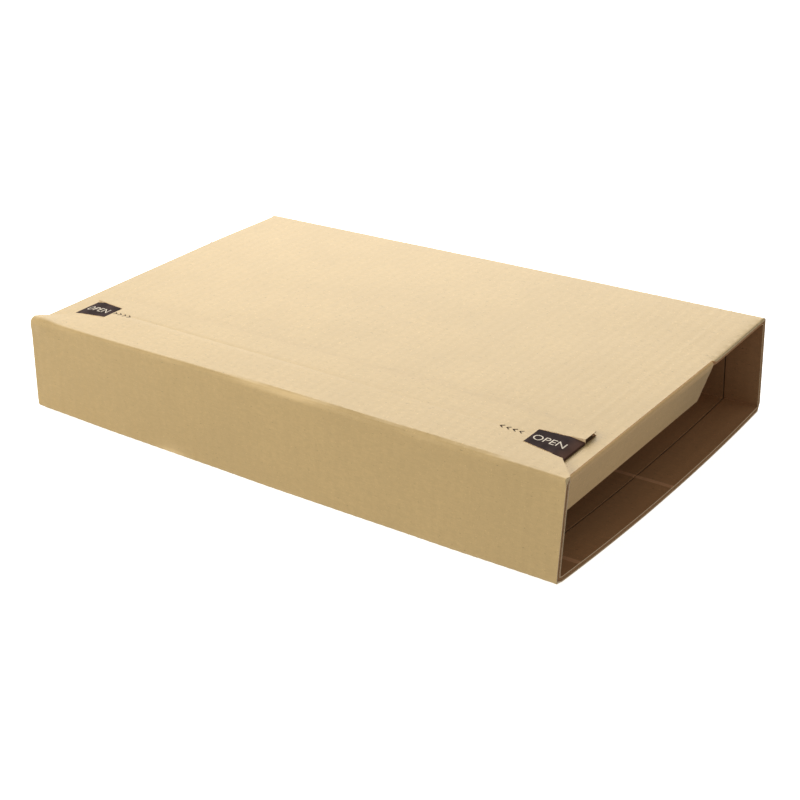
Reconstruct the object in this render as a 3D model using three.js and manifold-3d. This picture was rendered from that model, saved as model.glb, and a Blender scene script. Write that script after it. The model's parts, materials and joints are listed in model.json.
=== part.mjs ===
// Book mailer box: one sheet of corrugated board, folded round a book and glued shut, with its ends left open.
// Millimetres. X runs along the box from the left end to the right end, Y from the front wall to the back
// wall, Z up. The origin is at the middle of the underside.

import * as THREE from 'three';
import { mergeVertices } from 'three/addons/utils/BufferGeometryUtils.js';
import Module from 'manifold-3d';

const wasm = await Module();
wasm.setup();

// Driving dimensions of the folded box
const LENGTH = 352;
const DEPTH = 216;
const PANEL_HEIGHT = 55;
const BOARD = 3;
const LINER = 0.5;
const FOLD_INNER_RADIUS = 0.5;
const FOLD_STEPS = 6;
const FLUTE_PITCH = 6.5;

// Open edges of the board, where the two liners stand apart
const EDGE_GROOVE_DEPTH = 1.5;
const FLUTE_CELL_DEPTH = 2.5;
const FLUTE_WEB = 0.5;

// Closure flap, which comes up the front wall and lies glued on the top panel
const CLOSURE_REACH = 48.5;
const CLOSURE_INSET = 11.5;
const CLOSURE_CHAMFER = 9.5;
const GLUE_GAP = 0.25;
const TOP_PANEL_CLEARANCE = 0.5;

// Tear strip with a finger tab at each side of the closure flap
const TEAR_LINE_DISTANCE = 30.25;
const TEAR_LINE_SKEW_DEG = 1.4;
const TAB_LENGTH = 23;
const TAB_INNER_WIDTH = 15;
const TAB_OUTER_WIDTH = 22;
const TAB_SLIT = 0.5;
const TAB_BENT_LENGTH = 5.5;
const TAB_BENT_DROP = 1.5;
const TEAR_LINE_WIDTH = 0.5;
const TEAR_LINE_DEPTH = 0.25;

// Tear tape under the tear line, and the adhesive strip beyond it
const TAPE_WIDTH = 4;
const TAPE_THICKNESS = 0.125;
const ADHESIVE_WIDTH = 10;
const ADHESIVE_DISTANCE = 41.5;
const ADHESIVE_END_MARGIN = 38;

// Pressed lines in the board: one near each end, and two ridges along the bottom panel
const CREASE_INSET = 21;
const CREASE_WIDTH = 1;
const CREASE_DEPTH = 0.6;
const RIDGE_DISTANCES = [19, 107];
const RIDGE_WIDTH = 2;
const RIDGE_HEIGHT = 0.5;

// End flaps, hinged on the top panel's ends and hanging inside
const FLAP_LENGTH = 22;
const FLAP_FRONT_CLEARANCE = 1.5;
const FLAP_BACK_DISTANCE = 152;
const FLAP_SLANT_DEG = 15;
const FLAP_SIDE_CLEARANCE = 0.5;
const HINGE_CLEARANCE = 0.3;
const HINGE_STEPS = 12;
const HINGE_UNDERCUT = 5;
const CRUSHED_EDGE = 1.5;

// Places that follow from the dimensions above
const foldRadius = FOLD_INNER_RADIUS + BOARD;
const endX = LENGTH / 2;
const frontY = -DEPTH / 2;
const backY = DEPTH / 2;
const closureUnderside = PANEL_HEIGHT + GLUE_GAP;
const closureTop = closureUnderside + BOARD;
const topPanelFront = frontY + BOARD + TOP_PANEL_CLEARANCE;
const closureSide = endX - CLOSURE_INSET;
const tearLineSkew = THREE.MathUtils.degToRad(TEAR_LINE_SKEW_DEG);
const hingeX = endX - BOARD / 2;
const hingeZ = PANEL_HEIGHT - BOARD / 2;
const flapFront = frontY + BOARD + FLAP_FRONT_CLEARANCE;
const flapBack = frontY + FLAP_BACK_DISTANCE;

// How far cutting solids reach past the faces that they cut
const OVERCUT = 1;
const midGap = PANEL_HEIGHT + GLUE_GAP / 2;

const kraftOuter = new THREE.MeshStandardMaterial({ color: 0xd9c298, roughness: 0.9, metalness: 0 });
const kraftFlap = new THREE.MeshStandardMaterial({ color: 0xb79a6f, roughness: 0.92, metalness: 0 });
const tapeFilm = new THREE.MeshStandardMaterial({ color: 0xd8d2c2, roughness: 0.35, metalness: 0 });
const adhesiveBand = new THREE.MeshStandardMaterial({ color: 0xcfc7b0, roughness: 0.5, metalness: 0 });

function solidFrom(geometry) {
  const bare = geometry.clone();
  bare.deleteAttribute('normal');
  bare.deleteAttribute('uv');
  const merged = mergeVertices(bare, 1e-5);
  const mesh = new wasm.Mesh({
    numProp: 3,
    vertProperties: new Float32Array(merged.attributes.position.array),
    triVerts: new Uint32Array(merged.index.array),
  });
  return new wasm.Manifold(mesh);
}

function geometryFrom(solid) {
  const mesh = solid.getMesh();
  const geometry = new THREE.BufferGeometry();
  geometry.setAttribute('position', new THREE.BufferAttribute(new Float32Array(mesh.vertProperties), 3));
  geometry.setIndex(new THREE.BufferAttribute(new Uint32Array(mesh.triVerts), 1));
  geometry.computeVertexNormals();
  return geometry;
}

// A shape drawn in Y and Z, carried along X from one place to another
function alongX(points, fromX, toX) {
  const geometry = new THREE.ExtrudeGeometry(new THREE.Shape(points), { depth: toX - fromX, bevelEnabled: false });
  const axes = new THREE.Matrix4().makeBasis(
    new THREE.Vector3(0, 1, 0), new THREE.Vector3(0, 0, 1), new THREE.Vector3(1, 0, 0));
  geometry.applyMatrix4(axes);
  geometry.translate(fromX, 0, 0);
  return geometry;
}

// A shape drawn in X and Z, carried along Y from one place to another
function alongY(points, fromY, toY) {
  const geometry = new THREE.ExtrudeGeometry(new THREE.Shape(points), { depth: toY - fromY, bevelEnabled: false });
  geometry.rotateX(Math.PI / 2);
  geometry.translate(0, toY, 0);
  return geometry;
}

// A shape drawn in X and Y, carried up from one height to another
function alongZ(points, fromZ, toZ) {
  const geometry = new THREE.ExtrudeGeometry(new THREE.Shape(points), { depth: toZ - fromZ, bevelEnabled: false });
  geometry.translate(0, 0, fromZ);
  return geometry;
}

function cutBy(solid, geometries) {
  return geometries.reduce((left, geometry) => left.subtract(solidFrom(geometry)), solid);
}

function point(x, y) {
  return new THREE.Vector2(x, y);
}

// One face of the folded board at a depth under its outer face. The corners are right angles, all turned the
// same way, and each fold is an arc about one centre for every depth.
function foldedFace(corners, depth) {
  const face = [];
  const last = corners.length - 1;
  const direction = (from, to) => corners[to].clone().sub(corners[from]).normalize();
  const inward = (along) => point(along.y, -along.x);
  face.push(corners[0].clone().addScaledVector(inward(direction(0, 1)), depth));
  for (let i = 1; i < last; i += 1) {
    const arriving = direction(i - 1, i);
    const leaving = direction(i, i + 1);
    const centre = corners[i].clone().addScaledVector(arriving, -foldRadius).addScaledVector(leaving, foldRadius);
    for (let step = 0; step <= FOLD_STEPS; step += 1) {
      const turn = (step / FOLD_STEPS) * (Math.PI / 2);
      const radius = foldRadius - depth;
      face.push(centre.clone()
        .addScaledVector(leaving, -radius * Math.cos(turn))
        .addScaledVector(arriving, radius * Math.sin(turn)));
    }
  }
  face.push(corners[last].clone().addScaledVector(inward(direction(last - 1, last)), depth));
  return face;
}

// The section of the board between two depths under its outer face
function boardSection(corners, outerDepth, innerDepth) {
  return [...foldedFace(corners, outerDepth), ...foldedFace(corners, innerDepth).reverse()];
}

const blankCorners = [
  point(topPanelFront, PANEL_HEIGHT),
  point(backY, PANEL_HEIGHT),
  point(backY, 0),
  point(frontY, 0),
  point(frontY, closureTop),
  point(frontY + CLOSURE_REACH, closureTop),
];

// Back wall, bottom, front wall and front fold: the stretch whose cut edges show at the open ends
const openEndCorners = [
  point(backY, PANEL_HEIGHT - foldRadius),
  point(backY, 0),
  point(frontY, 0),
  point(frontY, closureTop),
  point(frontY + foldRadius, closureTop),
];

function ridge(distance) {
  const middle = frontY + distance;
  const foot = BOARD - RIDGE_HEIGHT;
  const section = [
    point(middle - RIDGE_WIDTH / 2, foot),
    point(middle - RIDGE_WIDTH / 2, BOARD),
    point(middle, BOARD + RIDGE_HEIGHT),
    point(middle + RIDGE_WIDTH / 2, BOARD),
    point(middle + RIDGE_WIDTH / 2, foot),
  ];
  return alongX(section, -endX, endX);
}

function endGroove(side) {
  const section = boardSection(openEndCorners, LINER, BOARD - LINER);
  const inner = side * (endX - EDGE_GROOVE_DEPTH);
  const outer = side * (endX + OVERCUT);
  return alongX(section, Math.min(inner, outer), Math.max(inner, outer));
}

// The pressed line near an end, across the inner faces of the back wall, the bottom and the front wall
function crease(side) {
  const bed = BOARD - CREASE_DEPTH;
  const clear = BOARD + RIDGE_HEIGHT + OVERCUT;
  const top = PANEL_HEIGHT - foldRadius;
  const section = [
    point(backY - bed, top), point(backY - bed, bed), point(frontY + bed, bed), point(frontY + bed, top),
    point(frontY + clear, top), point(frontY + clear, clear), point(backY - clear, clear), point(backY - clear, top),
  ];
  const middle = side * (endX - CREASE_INSET);
  return alongX(section, middle - CREASE_WIDTH / 2, middle + CREASE_WIDTH / 2);
}

// What the die cuts away beside the closure flap: a chamfer from the front corner, then a straight inset edge
function closureSideCut(side) {
  const chamferStart = frontY + foldRadius;
  const outline = [
    point(side * endX, chamferStart),
    point(side * closureSide, chamferStart + CLOSURE_CHAMFER),
    point(side * closureSide, frontY + CLOSURE_REACH + OVERCUT),
    point(side * (endX + OVERCUT), frontY + CLOSURE_REACH + OVERCUT),
    point(side * (endX + OVERCUT), chamferStart),
  ];
  return alongZ(outline, midGap, closureTop + OVERCUT);
}

// The top panel stops at a thin lip above each hinged flap, undercut so that the flap can fold inwards
function hingeCut(side) {
  const lip = endX - BOARD / 2 - Math.sqrt((BOARD / 2 + HINGE_CLEARANCE) ** 2 - (BOARD / 2) ** 2);
  const run = HINGE_UNDERCUT / BOARD;
  const underside = PANEL_HEIGHT - BOARD;
  const outline = [
    point(side * (lip - HINGE_UNDERCUT - OVERCUT * run), underside - OVERCUT),
    point(side * (endX + OVERCUT), underside - OVERCUT),
    point(side * (endX + OVERCUT), midGap),
    point(side * (lip + (midGap - PANEL_HEIGHT) * run), midGap),
  ];
  return alongY(outline, topPanelFront - OVERCUT / 2, flapBack + FLAP_SIDE_CLEARANCE);
}

// Behind the flap the board is cut on the pressed line, which leaves its edge thin
function crushedEdgeCut(side) {
  const start = endX - HINGE_UNDERCUT;
  const slope = (BOARD - CRUSHED_EDGE) / HINGE_UNDERCUT;
  const underside = PANEL_HEIGHT - BOARD;
  const outline = [
    point(side * start, underside),
    point(side * (endX + OVERCUT), underside + (HINGE_UNDERCUT + OVERCUT) * slope),
    point(side * (endX + OVERCUT), underside - OVERCUT),
    point(side * start, underside - OVERCUT),
  ];
  return alongY(outline, flapBack + FLAP_SIDE_CLEARANCE, backY - foldRadius);
}

// Triangular openings between the fluting and the liners, drawn about one liner pair
function fluteCells(fromAlong, toAlong, lowHeight) {
  const core = BOARD - 2 * LINER;
  const count = Math.floor((toAlong - fromAlong - FLUTE_WEB) / (FLUTE_PITCH / 2)) - 1;
  const start = (fromAlong + toAlong) / 2 - ((count - 1) * FLUTE_PITCH) / 4;
  const half = FLUTE_PITCH / 2 - FLUTE_WEB;
  return Array.from({ length: count }, (_, i) => {
    const middle = start + (i * FLUTE_PITCH) / 2;
    const upright = i % 2 === 0;
    const base = lowHeight + LINER + (upright ? 0 : core);
    const apex = lowHeight + LINER + (upright ? core - FLUTE_WEB / 2 : FLUTE_WEB / 2);
    return [point(middle - half, base), point(middle + half, base), point(middle, apex)];
  });
}

function closureEdgeCells() {
  const edge = frontY + CLOSURE_REACH;
  return fluteCells(-closureSide, closureSide, closureUnderside)
    .map((cell) => alongY(cell, edge - FLUTE_CELL_DEPTH, edge + OVERCUT));
}

// Lays a shape out along the slightly skewed tear line, with its own X measured from the middle of the box
function onTearLine(geometry) {
  geometry.rotateZ(-tearLineSkew);
  geometry.translate(0, frontY + TEAR_LINE_DISTANCE, 0);
  return geometry;
}

const tabInner = closureSide - TAB_LENGTH;

function tabOutline(side) {
  const flare = (TAB_OUTER_WIDTH - TAB_INNER_WIDTH) / 2 / TAB_LENGTH;
  const reach = closureSide + OVERCUT;
  const outerHalf = TAB_INNER_WIDTH / 2 + (reach - tabInner) * flare;
  return [
    point(side * tabInner, -TAB_INNER_WIDTH / 2),
    point(side * reach, -outerHalf),
    point(side * reach, outerHalf),
    point(side * tabInner, TAB_INNER_WIDTH / 2),
  ];
}

function tabSlits(side) {
  const [innerFront, outerFront, outerBack, innerBack] = tabOutline(side);
  return [[innerFront, outerFront], [innerBack, outerBack]].map(([from, to]) => {
    const across = to.clone().sub(from).normalize().rotateAround(point(0, 0), Math.PI / 2);
    const outline = [
      from.clone().addScaledVector(across, -TAB_SLIT / 2),
      to.clone().addScaledVector(across, -TAB_SLIT / 2),
      to.clone().addScaledVector(across, TAB_SLIT / 2),
      from.clone().addScaledVector(across, TAB_SLIT / 2),
    ];
    return onTearLine(alongZ(outline, midGap, closureTop + OVERCUT));
  });
}

// The outer end of each tab is pressed down over the edge of the closure flap
function tabBend(side) {
  const slope = TAB_BENT_DROP / TAB_BENT_LENGTH;
  const start = closureSide - TAB_BENT_LENGTH;
  const wedge = [
    point(side * start, closureTop),
    point(side * (closureSide + OVERCUT), closureTop - (TAB_BENT_LENGTH + OVERCUT) * slope),
    point(side * (closureSide + OVERCUT), closureTop + OVERCUT),
    point(side * start, closureTop + OVERCUT),
  ];
  const band = solidFrom(onTearLine(alongY(wedge, -TAB_OUTER_WIDTH, TAB_OUTER_WIDTH)));
  return band.intersect(solidFrom(onTearLine(alongZ(tabOutline(side), midGap, closureTop + OVERCUT))));
}

function tearLineGroove() {
  const half = TEAR_LINE_WIDTH / 2;
  const outline = [
    point(-tabInner, -half), point(tabInner, -half), point(tabInner, half), point(-tabInner, half),
  ];
  return onTearLine(alongZ(outline, closureTop - TEAR_LINE_DEPTH, closureTop + OVERCUT));
}

function foldedBlank() {
  const sheet = solidFrom(alongX(boardSection(blankCorners, 0, BOARD), -endX, endX));
  const ridged = RIDGE_DISTANCES.reduce((solid, distance) => solid.add(solidFrom(ridge(distance))), sheet);
  const bothEnds = [-1, 1].flatMap((side) => [
    endGroove(side), crease(side), closureSideCut(side), hingeCut(side), crushedEdgeCut(side), ...tabSlits(side),
  ]);
  const cut = cutBy(ridged, [...bothEnds, tearLineGroove(), ...closureEdgeCells()]);
  const bent = cut.subtract(tabBend(-1)).subtract(tabBend(1));
  const mesh = new THREE.Mesh(geometryFrom(bent), kraftOuter);
  mesh.name = 'folded_blank';
  return mesh;
}

// One end flap, drawn hanging straight down from its hinge axis and then slanted inwards
function endFlap(side, name) {
  const half = BOARD / 2;
  const reach = FLAP_LENGTH - half;
  const section = [point(half, -reach), point(-half, -reach)];
  for (let step = 0; step <= HINGE_STEPS; step += 1) {
    const turn = Math.PI * (1 - step / HINGE_STEPS);
    section.push(point(half * Math.cos(turn), half * Math.sin(turn)));
  }
  const groove = [
    point(half - LINER, -reach - OVERCUT), point(-half + LINER, -reach - OVERCUT),
    point(-half + LINER, -reach + EDGE_GROOVE_DEPTH), point(half - LINER, -reach + EDGE_GROOVE_DEPTH),
  ];
  const cells = fluteCells(-reach + EDGE_GROOVE_DEPTH, 0, -half).map((cell) => cell.map((p) => point(p.y, p.x)));
  const solid = cutBy(solidFrom(alongY(section, flapFront, flapBack)), [
    alongY(groove, flapFront - OVERCUT, flapBack + OVERCUT),
    ...cells.map((cell) => alongY(cell, flapFront - OVERCUT, flapFront + FLUTE_CELL_DEPTH)),
    ...cells.map((cell) => alongY(cell, flapBack - FLUTE_CELL_DEPTH, flapBack + OVERCUT)),
  ]);
  const mesh = new THREE.Mesh(geometryFrom(solid), kraftFlap);
  mesh.name = name;
  mesh.position.set(side * hingeX, 0, hingeZ);
  mesh.rotation.y = side * THREE.MathUtils.degToRad(FLAP_SLANT_DEG);
  return mesh;
}

function tearTape() {
  const half = TAPE_WIDTH / 2;
  const reach = closureSide - TAB_BENT_LENGTH;
  const outline = [point(-reach, -half), point(reach, -half), point(reach, half), point(-reach, half)];
  const geometry = onTearLine(alongZ(outline, closureUnderside - TAPE_THICKNESS, closureUnderside));
  const mesh = new THREE.Mesh(geometry, tapeFilm);
  mesh.name = 'tear_tape';
  return mesh;
}

function adhesiveStrip() {
  const geometry = new THREE.BoxGeometry(2 * (endX - ADHESIVE_END_MARGIN), ADHESIVE_WIDTH, GLUE_GAP);
  geometry.translate(0, frontY + ADHESIVE_DISTANCE, PANEL_HEIGHT + GLUE_GAP / 2);
  const mesh = new THREE.Mesh(geometry, adhesiveBand);
  mesh.name = 'adhesive_strip';
  return mesh;
}

const mailer = new THREE.Group();
mailer.add(foldedBlank(), endFlap(1, 'right_end_flap'), endFlap(-1, 'left_end_flap'), tearTape(), adhesiveStrip());

export default mailer;
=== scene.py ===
"""Book mailer box: one folded sheet of kraft corrugated board, glued shut, with open ends and end flaps."""

import json
import math
from functools import cache

import bmesh
import bpy
import numpy as np
from bpy.props import FloatProperty, FloatVectorProperty, IntProperty, PointerProperty, StringProperty
from mathutils import Matrix, Vector
from mathutils.geometry import delaunay_2d_cdt

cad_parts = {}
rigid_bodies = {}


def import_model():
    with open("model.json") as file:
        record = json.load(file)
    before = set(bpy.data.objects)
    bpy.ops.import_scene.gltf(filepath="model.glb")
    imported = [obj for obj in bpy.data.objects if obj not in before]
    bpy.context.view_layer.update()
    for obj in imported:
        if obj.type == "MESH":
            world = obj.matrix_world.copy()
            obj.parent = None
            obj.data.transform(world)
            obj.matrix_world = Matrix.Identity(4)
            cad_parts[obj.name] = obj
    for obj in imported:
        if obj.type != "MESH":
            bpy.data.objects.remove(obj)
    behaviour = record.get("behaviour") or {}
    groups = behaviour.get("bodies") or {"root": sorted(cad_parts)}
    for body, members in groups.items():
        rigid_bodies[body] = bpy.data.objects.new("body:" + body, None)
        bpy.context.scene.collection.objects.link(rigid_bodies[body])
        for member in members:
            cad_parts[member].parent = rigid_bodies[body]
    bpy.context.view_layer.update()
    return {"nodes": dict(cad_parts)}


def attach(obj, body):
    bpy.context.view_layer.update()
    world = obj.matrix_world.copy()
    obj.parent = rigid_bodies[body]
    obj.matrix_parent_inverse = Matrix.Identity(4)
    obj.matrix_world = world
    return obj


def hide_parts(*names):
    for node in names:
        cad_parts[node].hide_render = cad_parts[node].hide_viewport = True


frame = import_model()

bl_info = {
    "name": "Book mailer box",
    "version": (1, 0, 0),
    "blender": (4, 5, 0),
    "location": "3D View > Sidebar > Mailer",
    "description": "Builds the folded board, end flaps, print and studio of a book mailer box",
    "category": "Object",
}

MM = 0.001

# The folded box in millimetres, as its solids have it
END_X = 176.0
FRONT_Y = -108.0
BACK_Y = 108.0
PANEL_TOP = 55.0
CLOSURE_TOP = 58.25
BOARD = 3.0
HALF_BOARD = BOARD / 2
FOLD_RADIUS = 3.5
PANEL_FRONT = FRONT_Y + FOLD_RADIUS
CLOSURE_REACH = 48.5
CLOSURE_SIDE = 163.6
CLOSURE_CHAMFER = 13.9
LIP_X = 174.6
FLAP_FRONT = -103.5
FLAP_BACK = 44.0
FLAP_SIDE_GAP = 0.5
FLAP_LENGTH = 22.0
FLAP_TAPER = 6.0
FLAP_TAPER_START = 1.0
FLAP_FLUTE_START = 3.1
FLAP_FLUTE_STOP = 1.1
ROOT_GAP = 0.05
FLAP_SLANT = math.radians(15.0)
HINGE_X = END_X - HALF_BOARD
HINGE_Z = PANEL_TOP - HALF_BOARD
FLAP_ROOT = HALF_BOARD * math.pi / 2
LIP_END = FLAP_BACK + FLAP_SIDE_GAP - PANEL_FRONT
TEAR_LINE_Y = FRONT_Y + 29.3
TEAR_LINE_SKEW = math.radians(0.5)
TAB_INNER_X = 140.2
TAB_INNER_HALF = 7.2
TAB_OUTER_HALF = 10.3
TAB_TAPER_RUN = 23.0
TAB_BENT_LENGTH = 7.0
TAB_BENT_DROP = 1.6
CLOSURE_SIDE_SINK = 0.7
CREASE_X = END_X - 21.0
CREASE_DEPTH = 0.55
RIDGE_Y = (FRONT_Y + 19.0, FRONT_Y + 107.0)
RIDGE_HEIGHT = 0.5
RIDGE_HALF_WIDTH = 1.7
BEVEL_CUT = 3.0
FLUTE_SETBACK = 0.15
SLIT_HALF_WIDTH = 0.25
SMOOTH_ANGLE = math.radians(30)

# The print: centre and width of each word, start and direction of each row of chevrons, heights off the board
WORDS = (("right_tab_word", 150.6, -80.3, 17.0), ("left_tab_word", -152.3, -77.6, 16.4))
CHEVRON_ROWS = (("right_chevrons", 123.2, -1), ("left_chevrons", -126.6, 1))
FIELD_UNDER = 0.01
FIELD_TOP = 0.07
LETTER_UNDER = 0.09
LETTER_THICKNESS = 0.03
CHEVRON_UNDER = -0.04
CHEVRON_TOP = 0.06

# Marks of use: a hump at the upper left corner, a crushed stretch of the upper fold, a scuff on the lower one
HUMP_X = -168.0
HUMP_HEIGHT = 1.5
CRUSHED_FROM = (-40.0, 5.0)
CRUSHED_TO = (150.0, 125.0)
RUBBED_FROM = (-30.0, -8.0)
RUBBED_TO = (60.0, 20.0)
SCUFF_X = -68.0

# How the box settled: closure flap to the right, front corners of the bottom raised, its ends bowed outwards
LEAN = 2.3
CORNER_LIFT = 1.6
TOP_CROWN = 1.1
BOTTOM_BOW = 3.0

# Numbers of the board's finishes, and those of the five bands of a cut edge from the outer face inwards
# FLAP_OUTSIDE is the end flaps' own copy of the outside liner, made warmer: painted light.
OUTSIDE, INSIDE, CUT_EDGE, GROOVE, FLUTING, FLAP_OUTSIDE = range(6)
# GROOVE is a dark finish that paints the shade inside the recess of a cut edge.
PLAIN_BANDS = (CUT_EDGE, CUT_EDGE, GROOVE, CUT_EDGE, CUT_EDGE)
EDGE_BANDS = {
    "open_end": (CUT_EDGE, CUT_EDGE, FLUTING, CUT_EDGE, CUT_EDGE),
    # The closure flap's side edges take the dark groove finish over their whole height: a painted shadow line
    # along the edge.
    "flap_side": (GROOVE,) * 5,
}

# Developed lengths along the sheet, from the top panel's free edge round to the closure flap's edge
ARC = (FOLD_RADIUS - HALF_BOARD) * math.pi / 2
PANEL_RUN = BACK_Y - FOLD_RADIUS - PANEL_FRONT
BACK_START = PANEL_RUN + ARC
BACK_RUN = PANEL_TOP - 2 * FOLD_RADIUS
BOTTOM_START = BACK_START + BACK_RUN + ARC
BOTTOM_RUN = BACK_Y - FRONT_Y - 2 * FOLD_RADIUS
FRONT_START = BOTTOM_START + BOTTOM_RUN + ARC
FRONT_RUN = CLOSURE_TOP - 2 * FOLD_RADIUS
CLOSURE_START = FRONT_START + FRONT_RUN + ARC
CLOSURE_RUN = CLOSURE_REACH - FOLD_RADIUS
SHEET_END = CLOSURE_START + CLOSURE_RUN
STARTS = (0.0, BACK_START, BOTTOM_START, FRONT_START, CLOSURE_START)
RUNS = (PANEL_RUN, BACK_RUN, BOTTOM_RUN, FRONT_RUN, CLOSURE_RUN)
FOLD_STARTS = (PANEL_RUN, BACK_START + BACK_RUN, BOTTOM_START + BOTTOM_RUN, FRONT_START + FRONT_RUN)
RIDGE_RUNS = tuple(BOTTOM_START + BACK_Y - FOLD_RADIUS - y for y in RIDGE_Y)


# Limits and units that the settings share
LENGTH = {"subtype": "DISTANCE", "unit": "LENGTH"}
POWER = {"subtype": "POWER", "unit": "POWER"}
COLOUR = {"subtype": "COLOR", "min": 0.0, "max": 1.0}


class BoardSettings(bpy.types.PropertyGroup):
    """The corrugated board"""
    flute_pitch: FloatProperty(
        name="Flute pitch", description="Distance from one flute to the next",
        default=0.0065, min=0.003, max=0.012, **LENGTH)
    washboard: FloatProperty(
        name="Washboard", description="Height of the ripple that the fluting presses into the liners",
        default=0.00005, min=0.0, max=0.0003, **LENGTH)
    liner: FloatProperty(
        name="Liner", description="Thickness of each liner at a cut edge",
        default=0.0004, min=0.0002, max=0.0008, **LENGTH)
    outside_colour: FloatVectorProperty(
        name="Outside", description="Kraft liner on the outside",
        default=(0.60, 0.425, 0.185), **COLOUR)
    inside_colour: FloatVectorProperty(
        name="Inside", description="Kraft liner on the inside",
        default=(0.45, 0.232, 0.10), **COLOUR)
    # The end flaps' outside colour is warmer than the outside liner of the same sheet: painted warm light
    # bounced from the box's inside.
    flap_painted_light_colour: FloatVectorProperty(
        name="End flap", description="Outside liner of the end flaps, warmed by the box's inside",
        default=(0.64, 0.415, 0.18), **COLOUR)
    # This dark fluting tone is painted shade inside the grooves of cut edges; the fluting itself is drawn 2.6
    # times lighter.
    shaded_core_colour: FloatVectorProperty(
        name="Fluting", description="Fluted paper between the liners",
        default=(0.16, 0.09, 0.045), **COLOUR)
    edge_colour: FloatVectorProperty(
        name="Cut edge", description="Cut edges of the liners",
        default=(0.84, 0.65, 0.42), **COLOUR)


class PrintSettings(bpy.types.PropertyGroup):
    """The print on the closure flap"""
    word: StringProperty(
        name="Word", description="Plain function word on each finger tab", default="OPEN")
    word_height: FloatProperty(
        name="Word height", description="Height of the capital letters",
        default=0.0049, min=0.002, max=0.01, **LENGTH)
    chevrons: IntProperty(
        name="Chevrons", description="Number of chevrons beside each tab", default=4, min=1, max=12)
    chevron_pitch: FloatProperty(
        name="Chevron pitch", description="Distance from one chevron to the next",
        default=0.0036, min=0.001, max=0.01, **LENGTH)
    ink_colour: FloatVectorProperty(
        name="Ink", description="Near-black ink of the tabs and chevrons",
        default=(0.037, 0.023, 0.021), **COLOUR)


class StageSettings(bpy.types.PropertyGroup):
    """Floor, light and camera"""
    floor_colour: FloatVectorProperty(
        name="Floor", description="Pale floor", default=(0.93, 0.93, 0.93), **COLOUR)
    sky_strength: FloatProperty(
        name="Surrounding light", description="Strength of the even light from all sides",
        default=0.40, min=0.0, max=5.0)
    key_power: FloatProperty(
        name="Overhead light", description="Power of the large soft light above and behind",
        default=34.0, min=0.0, max=200.0, **POWER)
    fill_power: FloatProperty(
        name="Front light", description="Power of the soft light at the front left",
        default=15.0, min=0.0, max=200.0, **POWER)
    floor_glow: FloatProperty(
        name="Floor glow", description="How far the floor's own glow washes out shadows",
        default=0.78, min=0.0, max=2.0)


def wrap_section(run):
    """Points on the wrap's outer face and directions out of the board, for places along the sheet."""
    run = np.asarray(run, float)
    y, z, out_y, out_z = (np.zeros_like(run) for _ in range(4))
    radius = FOLD_RADIUS
    corners = [
        ((PANEL_FRONT, PANEL_TOP), (1, 0)),
        ((BACK_Y, PANEL_TOP - radius), (0, -1)),
        ((BACK_Y - radius, 0.0), (-1, 0)),
        ((FRONT_Y, radius), (0, 1)),
        ((FRONT_Y + radius, CLOSURE_TOP), (1, 0)),
    ]
    for start, length, ((from_y, from_z), (dir_y, dir_z)) in zip(STARTS, RUNS, corners):
        out = (-dir_z, dir_y)
        low = -math.inf if start == 0.0 else start
        high = math.inf if start == CLOSURE_START else start + length
        here = (run >= low) & (run <= high)
        along = run[here] - start
        y[here] = from_y + dir_y * along
        z[here] = from_z + dir_z * along
        out_y[here] = out[0]
        out_z[here] = out[1]
        if start == CLOSURE_START:
            break
        bend = (run > start + length) & (run < start + length + ARC)
        turn = (run[bend] - start - length) / ARC * (math.pi / 2)
        centre_y = from_y + dir_y * length - out[0] * radius
        centre_z = from_z + dir_z * length - out[1] * radius
        normal_y = out[0] * np.cos(turn) + dir_y * np.sin(turn)
        normal_z = out[1] * np.cos(turn) + dir_z * np.sin(turn)
        y[bend] = centre_y + radius * normal_y
        z[bend] = centre_z + radius * normal_z
        out_y[bend] = normal_y
        out_z[bend] = normal_z
    return y, z, out_y, out_z


def fold_bulge(turn, radius, flat_share):
    """How far a fold's outer face stands out beyond its plain round, at angles of turn through the fold."""
    whole = FOLD_RADIUS
    near = np.minimum(turn, math.pi / 2 - turn)
    shift = whole - radius
    middle = shift * (np.cos(turn) + np.sin(turn))
    round_part = middle + np.sqrt(np.maximum(radius ** 2 - 2 * shift ** 2 + middle ** 2, 0))
    straight = whole / np.cos(near)
    crisp = np.where(near < np.arctan2(shift, whole), straight, round_part)
    bevel = np.minimum(straight, (2 * whole - BEVEL_CUT) / (np.cos(turn) + np.sin(turn)))
    return crisp * (1 - flat_share) + bevel * flat_share - whole


def fold_turn(run, start):
    """The angle through a fold that starts at a place along the sheet, or -1 outside it."""
    return np.where(between(run, start, start + ARC), (run - start) / ARC * (math.pi / 2), -1.0)


def inside_outline(points, outline):
    """Which points lie inside a closed outline."""
    x, y = points[:, 0], points[:, 1]
    inside = np.zeros(len(points), bool)
    previous = outline[-1]
    for corner in outline:
        (x0, y0), (x1, y1) = previous, corner
        crosses = (y0 > y) != (y1 > y)
        if y1 != y0:
            inside ^= crosses & (x < (x1 - x0) * (y - y0) / (y1 - y0) + x0)
        previous = corner
    return inside


def distance_to_line(points, start, end):
    """Distance of points from a straight stretch."""
    start = np.asarray(start, float)
    along = np.asarray(end, float) - start
    share = np.clip(((points - start) @ along) / (along @ along), 0, 1)
    return np.linalg.norm(points - start - share[:, None] * along, axis=1)


def split_line(start, end, pitch):
    """Points along a straight stretch, without its last one."""
    start, end = np.asarray(start, float), np.asarray(end, float)
    count = max(1, int(round(np.linalg.norm(end - start) / pitch)))
    return [tuple(start + (end - start) * i / count) for i in range(count)]


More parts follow.
